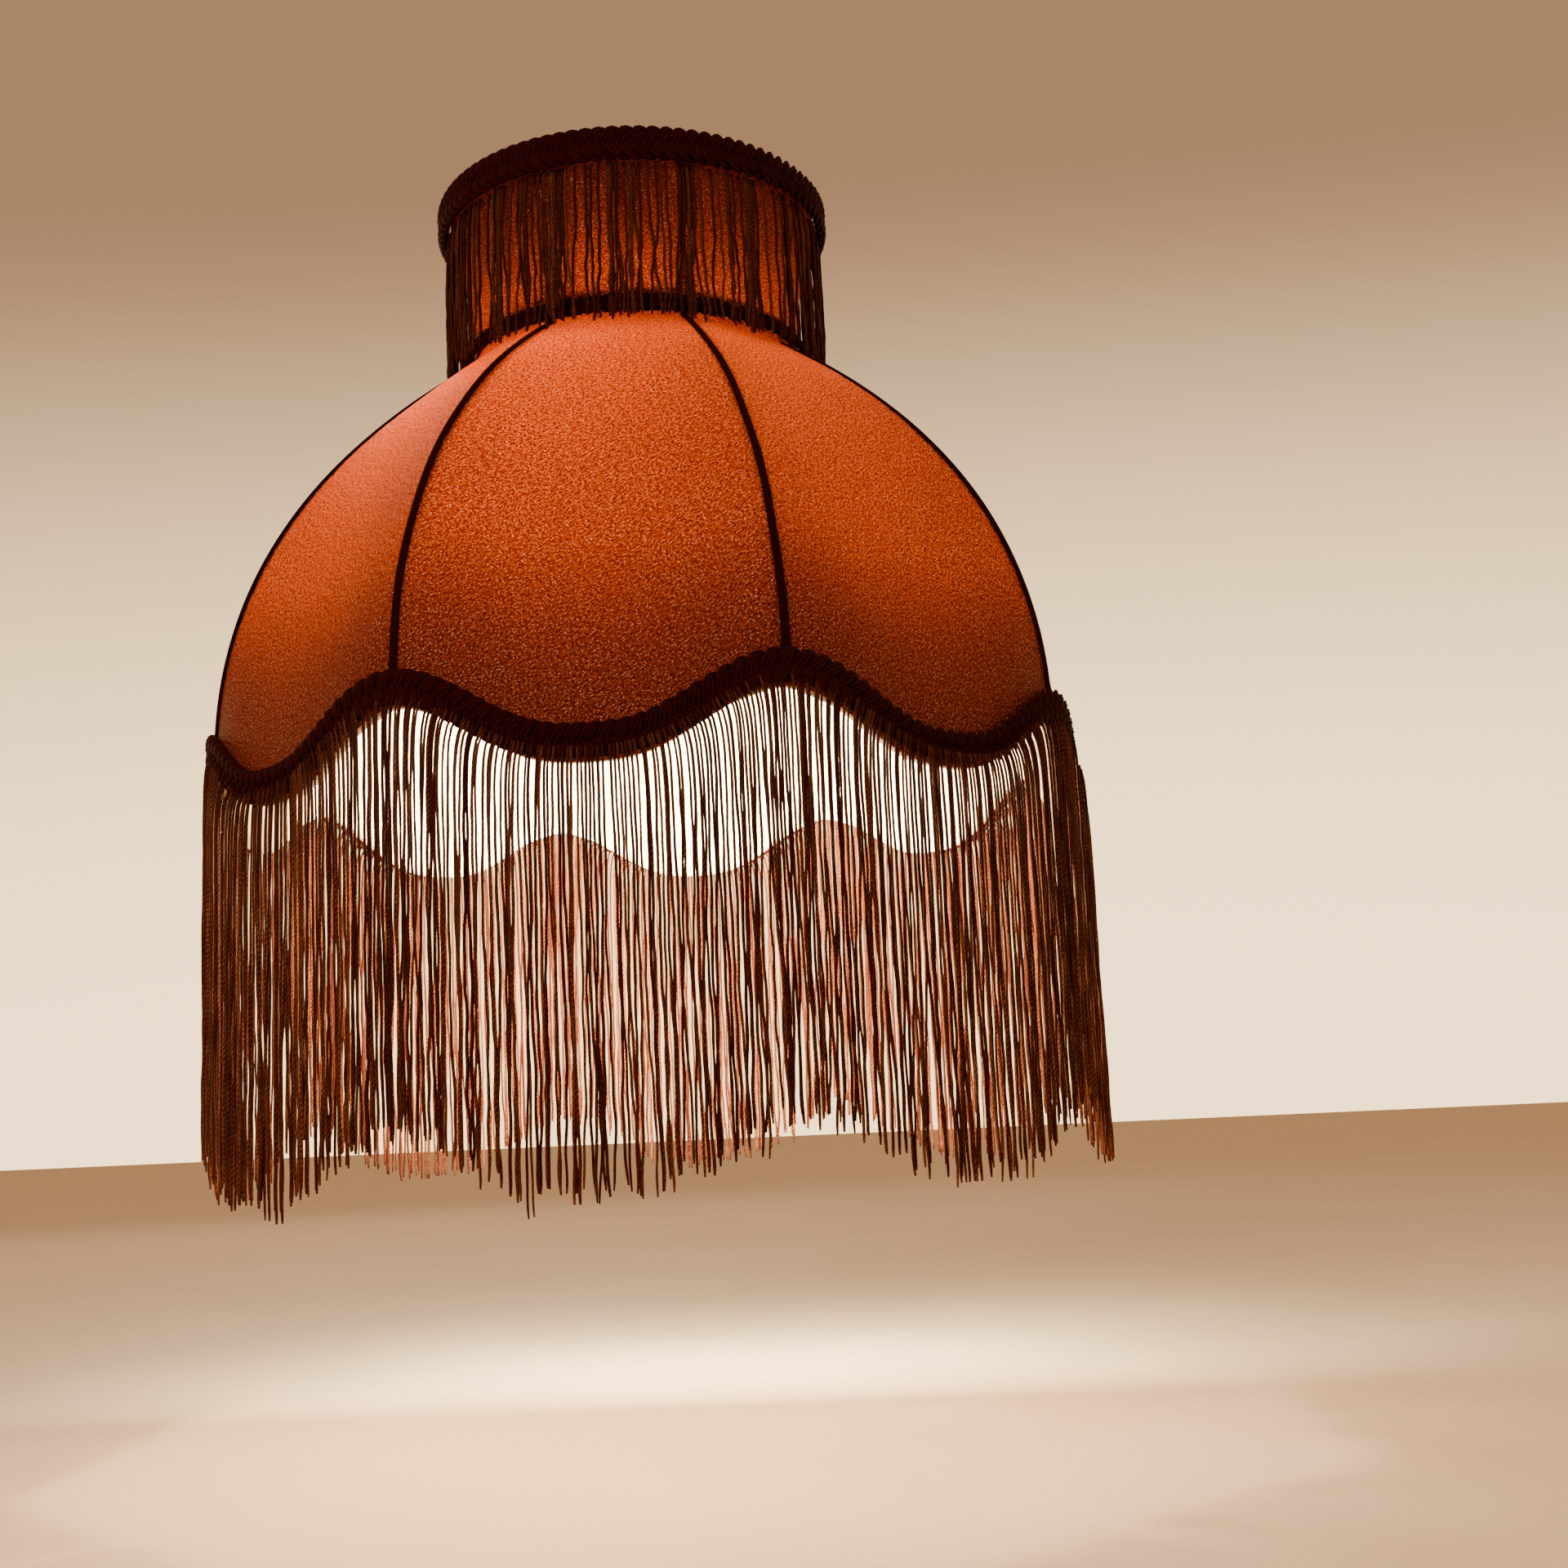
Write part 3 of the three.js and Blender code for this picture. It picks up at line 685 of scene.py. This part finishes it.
def linings():
    """One cream sheet lines the collar. The other lines the dome and turns up round the hem wire."""
    azimuth = np.linspace(0, 2 * pi, RIB_COUNT * 24, endpoint=False)[None, :]
    ring_r = HEM_R - HEM_DIP_INSET * hem_dip(azimuth)
    ring_z = hem_z(azimuth) - HEM_FOOT
    lip = np.linspace(pi, 0.32 * pi, 9)[:, None]
    pieces = []
    for name, wall, stations in (("dome_lining", dome_wall, np.linspace(BEND_END, 0.995, 60)),
                                 ("collar_lining", collar_wall, np.linspace(0.04, 0.96, 16))):
        down = stations[:, None]
        gathers = np.sin(azimuth * 96) * 0.12 * MM * np.exp(-down / 0.3)
        faces = []
        for side in (0.5, -0.5):
            face = wall(azimuth, down, LINING_MIDDLE + gathers + side * LINING_T)
            if wall is dome_wall:
                reach = -LINING_MIDDLE - side * LINING_T
                face = np.concatenate([face, round_wire(azimuth, ring_r, ring_z, lip, reach)])
            faces.append(face)
        ob = add_piece(f"{name}_cloth", shell(name, *faces, closed=True), CREAM,
                       [name])
        ob.visible_shadow = False      # so that the bulb lights the gores through it
        pieces.append(ob)
    return pieces


def pipings():
    """A folded tape over each seam, thinner towards the neck, tucked under the braids."""
    steps = 90
    down = np.linspace(BEND_END * 0.6, 0.985, steps)
    pieces = []
    for number in range(RIB_COUNT):
        azimuth = (number + 0.5) * SECTOR
        sideways = polar(1.0, azimuth + pi / 2, 0.0) * np.ones((1, steps, 1))
        wander = 0.18 * MM * np.sin(down * 23 + number)
        line = dome_wall(azimuth, down, CLOTH_OUTSIDE + 0.05 * MM)
        path = line[None] + sideways * wander[None, :, None]
        width = (1.15 + 0.55 * down) * MM
        name = f"rib_tape_{number + 1}"
        mesh = tubes(name, path, sideways, width[None], 0.85 * MM, 14)
        pieces.append(add_piece(name, mesh, TAPE, [f"rib_piping_{number + 1}"]))
    return pieces


# ---- Gimp braid ----------------------------------------------------------------------------
PLAIT_STRANDS = 3
CORDS_PER_STRAND = 3
POINTS_PER_TURN = 18
HEM_GIMP_OUT = 2.2 * MM                # the gimps' middle lines, out from the cloth
TOP_GIMP_OUT = 2.7 * MM
HEM_GIMP_DROP = 1.8 * MM               # below the middle of the CAD braid
TOP_GIMP_RISE = 8.6 * MM               # above the foot of the CAD braid
NECK_GIMP_R = 76.2 * MM
NECK_GIMP_Z = 147.6 * MM
NECK_GIMP_TILT = 25


class Gimp(NamedTuple):
    """turns counts its strands' crossings to and fro, and depth is how far they weave in and out."""
    turns: int
    height: float
    cord_r: float
    depth: float


def plait(name, centre, outwards, gimp, stands_for):
    """A three-strand plait of triple cords along a closed line of points, centre, that has
    outwards as its face direction."""
    turns, height, cord_r, depth = gimp
    steps = turns * POINTS_PER_TURN
    loop = np.vstack([centre, centre[:1]])
    run = np.r_[0, np.cumsum(np.linalg.norm(np.diff(loop, axis=0), axis=1))]
    at = np.linspace(0, run[-1], steps + 1)
    middle = np.stack([np.interp(at, run, loop[:, k]) for k in range(3)], -1)
    facing = np.vstack([outwards, outwards[:1]])
    facing = unit(np.stack([np.interp(at, run, facing[:, k]) for k in range(3)], -1))
    along = unit(np.roll(middle[:-1], -1, 0) - np.roll(middle[:-1], 1, 0))
    along = np.vstack([along, along[:1]])
    up = unit(np.cross(facing, along))
    period = run[-1] / turns
    spread = 2 * cord_r * 0.94
    reach = height / 2 - cord_r - 0.55 * spread
    phase = 2 * pi * np.arange(steps + 1) / POINTS_PER_TURN
    paths, facings = [], []
    for strand in range(PLAIT_STRANDS):
        angle = phase + 2 * pi * strand / PLAIT_STRANDS
        rise = reach * np.sin(angle)
        slope = reach * 2 * pi / period * np.cos(angle)
        ahead = 1 / np.sqrt(1 + slope ** 2)
        squeeze = 0.55 + 0.45 * np.abs(np.cos(angle))
        for cord in range(CORDS_PER_STRAND):
            aside = (cord - 1) * spread * squeeze
            out = depth * np.sin(2 * angle) - 0.25 * cord_r * abs(cord - 1)
            path = (middle + up * (rise + aside * ahead)[:, None]
                    - along * (aside * slope * ahead)[:, None] + facing * out[:, None])
            paths.append(path)
            facings.append(facing)
    paths, facings = np.array(paths), np.array(facings)
    tone = random.random(len(paths))
    pieces = []
    per_part = steps // RIB_COUNT
    for part in range(RIB_COUNT):
        keep = slice(part * per_part, (part + 1) * per_part + 1)
        part_name = f"{name}_{part + 1}"
        mesh = tubes(part_name, paths[:, keep], facings[:, keep], cord_r * 0.9, cord_r, 7, tone=tone)
        pieces.append(add_piece(part_name, mesh, CORD, stands_for))
    return pieces


def braid_line(radius, z, tilt=0.0, count=RIB_COUNT * 48):
    """A closed line round the shade from the middle of a gore, with its outward directions, which
    tilt upwards by some degrees."""
    azimuth = np.linspace(0, 2 * pi, count, endpoint=False)
    outwards = polar(cos(radians(tilt)), azimuth, sin(radians(tilt)))
    return polar(radius(azimuth), azimuth, z(azimuth)), outwards


def braids():
    hem_mid_r = HEM_R + CLOTH_OUTSIDE + HEM_GIMP_OUT
    hem = plait("hem_gimp", *braid_line(
        lambda a: hem_mid_r - HEM_DIP_INSET * hem_dip(a),
        lambda a: hem_z(a) - HEM_FOOT + HEM_BRAID_H / 2 - HEM_GIMP_DROP,
    ), Gimp(72, HEM_BRAID_H + 1 * MM, 0.86 * MM, 1.35 * MM), ["hem_braid"])
    neck = plait("neck_gimp", *braid_line(
        lambda a: NECK_GIMP_R + 0 * a, lambda a: NECK_GIMP_Z + 0 * a, NECK_GIMP_TILT,
    ), Gimp(40, 10 * MM, 0.62 * MM, 0.9 * MM), ["neck_braid"])
    top_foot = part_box("top_braid")[0].z
    top = plait("top_gimp", *braid_line(
        lambda a: TOP_R + CLOTH_OUTSIDE + TOP_GIMP_OUT + 0 * a,
        lambda a: top_foot + TOP_GIMP_RISE + 0 * a,
    ), Gimp(32, 15 * MM, 1.0 * MM, 1.4 * MM), ["top_braid"])
    return hem, neck, top


# ---- Fringes -------------------------------------------------------------------------------
STRAND_HALF_WIDTH = 0.56 * MM
STRAND_HALF_DEPTH = 0.5 * MM
STRAND_SIDES = 6
JOINED_SHARE = 0.55                    # the share of strands that cling in pairs
STRAY_SHARE = 0.05                     # and the share that wander off across their neighbours


class Fringe(NamedTuple):
    """How one fringe hangs. foot_z gives the height of the braid's foot at an azimuth, clump how
    far strands there have bunched sideways, and settle the drop over which they turn plumb.
    bulk is the strands' thickness, edge_on their turn, and bright_share the share of pale ones."""
    name: str
    stands_for: str
    count: int
    foot_z: object
    clump: object
    radius: float
    length: float
    strays: float
    settle: float
    bulk: float
    edge_on: float
    bright_share: float


def hang(azimuth, radius, foot_z, slope, length, strays, joined, settle):
    """Paths of hanging strands. Each leaves the braid square to its edge, bends down, and sways a
    little; joined pairs meet at their ends. All arguments hold one value for each strand."""
    count, steps = len(azimuth), 44
    down = (np.linspace(0, 1, steps) ** 0.9)[None, :]
    run = down * length[:, None]
    lean = slope[:, None] * settle * (1 - np.exp(-run / settle))
    sway = np.zeros((count, steps))
    float_out = np.zeros((count, steps))
    for waves, size in ((1.3, 0.6), (2.9, 0.36), (7.3, 0.2)):
        freq = waves * (0.8 + 0.4 * random.random((count, 1)))
        sway += size * np.sin(2 * pi * (freq * down + random.random((count, 1))))
        float_out += 0.6 * size * np.sin(2 * pi * (freq * down + random.random((count, 1))))
    grow = 0.15 + 0.85 * down
    drift = strays[:, None] * smooth(down * 1.1)
    middle = lean + sway * MM * grow + drift
    pull = smooth((down - 0.3) / 0.7)
    partner = np.arange(count) ^ 1
    arc = azimuth[:, None] * radius[:, None] + middle
    meet = (arc + arc[partner]) / 2
    arc = np.where(joined[:, None], arc + (meet - arc) * pull, arc)
    out = radius[:, None] + 1.6 * MM * (1 - np.exp(-run / (6 * MM))) + float_out * MM * grow
    out = np.where(joined[:, None], out + (out[partner] - out) / 2 * pull, out)
    return polar(out, arc / radius[:, None], foot_z[:, None] + 1.5 * MM - run)


def strand_mesh(name, paths, kind):
    count, steps = paths.shape[:2]
    down = np.linspace(0, 1, steps)[None]
    facing = polar(1.0, np.arctan2(paths[..., 1], paths[..., 0]), 0.0)
    sideways = np.cross(facing, [0.0, 0.0, 1.0])
    turns = random.normal(0, 1.1, (count, 1)) * down
    wobble = 0.5 * np.sin(2 * pi * (2.3 * down + random.random((count, 1))))
    twist = 2 * pi * turns + (wobble + random.normal(0, 0.5, (count, 1))) * 0.7 + kind.edge_on
    tip = 1 - 0.35 * smooth((down - 0.97) / 0.03)
    size = kind.bulk * (0.85 + 0.3 * random.random((count, 1))) * tip
    pale = np.where(random.random(count) < kind.bright_share, 0.5, 0.0)
    tone = pale + 0.5 * random.random(count) ** 1.8
    return tubes(name, paths, sideways, STRAND_HALF_WIDTH * size, STRAND_HALF_DEPTH * size,
                 STRAND_SIDES, twist, tone)


def fringe(kind):
    """A fringe of strands, made in one part for each gore."""
    count, foot_z = kind.count, kind.foot_z
    azimuth = (np.arange(count) + 0.5 + random.normal(0, 0.16, count)) / count * 2 * pi
    azimuth += kind.clump(azimuth)
    azimuth.sort()
    step = 1e-3
    slope = (foot_z(azimuth + step) - foot_z(azimuth - step)) / (2 * step * kind.radius)
    lengths = kind.length * (1 + random.normal(0, 0.018, count))
    joined = np.repeat(random.random(count // 2) < JOINED_SHARE, 2)
    lengths = np.where(joined, np.repeat(lengths[::2], 2), lengths)
    wandering = random.random(count) < STRAY_SHARE
    far, near = random.normal(0, kind.strays, count), random.normal(0, kind.strays / 6, count)
    stray = np.where(wandering, far, near)
    radii = kind.radius + random.normal(0, 0.45, count) * MM
    paths = hang(azimuth, radii, foot_z(azimuth), slope, lengths, stray, joined, kind.settle)
    per_part = count // RIB_COUNT
    pieces = []
    for part in range(RIB_COUNT):
        part_name = f"{kind.name}_{part + 1}"
        mesh = strand_mesh(part_name, paths[part * per_part:(part + 1) * per_part], kind)
        pieces.append(add_piece(part_name, mesh, THREAD, [kind.stands_for]))
    return pieces


def fringes():
    def uneven(azimuth):
        """Where the short strands have bunched together, leaving gaps."""
        waves = ((19, 0.5, 0.9), (31, 2.1, 0.95), (53, 4.0, 0.9))
        return sum(size / n * np.sin(n * azimuth + phase) for n, phase, size in waves)

    fringe_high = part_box("hem_fringe")[1]
    collar_low, collar_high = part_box("collar_fringe")
    hem = Fringe(
        "hem_strands", "hem_fringe", count=768,
        foot_z=lambda a: hem_z(a) - HEM_FOOT, clump=lambda a: 0.16 / 90 * np.sin(90 * a),
        radius=fringe_high.x - 3.2 * MM, length=150 * MM, strays=4 * MM, settle=6 * MM,
        bulk=1.0, edge_on=pi / 2, bright_share=0.34,
    )
    collar = Fringe(
        "collar_strands", "collar_fringe", count=304,
        foot_z=lambda a: collar_high.z + 0.4 * MM + 0 * a, clump=uneven,
        radius=collar_high.x - 3 * MM, length=collar_high.z - collar_low.z + 3.5 * MM,
        strays=2.2 * MM, settle=4 * MM, bulk=1.2, edge_on=0.0, bright_share=0.04,
    )
    return fringe(hem), fringe(collar)


# ---- Frame and fitter ----------------------------------------------------------------------
def dress_frame():
    """The CAD wires and fitter keep their shapes, with better materials."""
    for node, ob in frame["nodes"].items():
        slot = next(s["material_slot"] for s in frame["record"]["subparts"] if s["node"] == node)
        material = {"frame_wire": WIRE, "fitter_brass": BRASS}.get(slot)
        if material:
            ob.data.materials.clear()
            ob.data.materials.append(material)


def floor():
    size = 6.0
    mesh = bpy.data.meshes.new("floor")
    corners = [(-size, -size), (size, -size), (size, size), (-size, size)]
    mesh.from_pydata([(x, y, FLOOR_Z) for x, y in corners], [], [(0, 1, 2, 3)])
    mesh.materials.append(floor_paper())
    add_object("floor", mesh)


# ---- Assembly ------------------------------------------------------------------------------
place_camera()
place_lights()
studio_world()
floor()
dress_frame()
dome_pieces = dome_gores()
collar_pieces = collar_gores()
dome_lining, collar_lining = linings()
piping_pieces = pipings()
hem_gimp, neck_gimp, top_gimp = braids()
hem_strands, collar_strands = fringes()
